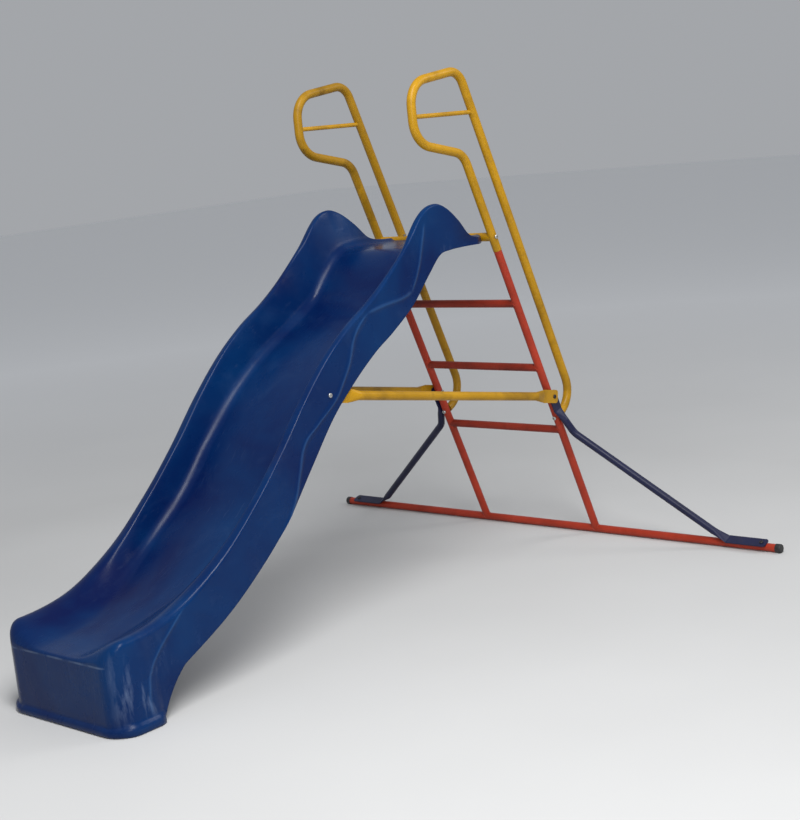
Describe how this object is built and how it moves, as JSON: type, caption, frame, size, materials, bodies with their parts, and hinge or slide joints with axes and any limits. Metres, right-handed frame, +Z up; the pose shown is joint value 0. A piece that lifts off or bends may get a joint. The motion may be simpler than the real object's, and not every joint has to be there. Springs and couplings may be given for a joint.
{
  "type": "garden slide",
  "caption": "Wavy moulded chute hooked on a leaning tube ladder with looped handrails, side struts and a wide braced base bar.",
  "frame": {"origin": "middle of the footprint, on the floor", "axes": "+Y from the chute's foot towards the ladder, +X to the side, +Z up"},
  "size_m": [2.206, 2.414, 1.8507],
  "materials": {
    "chute_blue": "moulded polyethylene, semi-gloss, scuffed by use",
    "frame_red": "powder coat, satin",
    "rail_yellow": "powder coat, satin, a little faded",
    "brace_blue": "powder coat, satin",
    "zinc_steel": "bright zinc plate",
    "dark_steel": "dark coated fastener heads",
    "cap_black": "black moulded end cap"
  },
  "bodies": {
    "root": {"slide_chute": "chute_blue", "base_bar": "frame_red", "base_cap_left": "cap_black", "base_cap_right": "cap_black", "stile_left": "frame_red", "stile_right": "frame_red", "rung_lower": "frame_red", "rung_middle": "frame_red", "rung_upper": "frame_red", "top_cross_tube": "rail_yellow", "handrail_left": "rail_yellow", "handrail_right": "rail_yellow", "grab_crossbar_left": "rail_yellow", "grab_crossbar_right": "rail_yellow", "strut_left": "rail_yellow", "strut_right": "rail_yellow", "brace_left": "brace_blue", "brace_right": "brace_blue", "lip_screws": "zinc_steel", "rivet_nuts": "zinc_steel", "handrail_top_bolts": "zinc_steel", "handrail_foot_bolts": "zinc_steel", "strut_rear_bolts": "dark_steel", "strut_rear_nuts": "zinc_steel", "strut_front_bolts": "zinc_steel", "strut_front_nuts": "zinc_steel", "brace_foot_bolts": "dark_steel"}
  },
  "joints": []
}
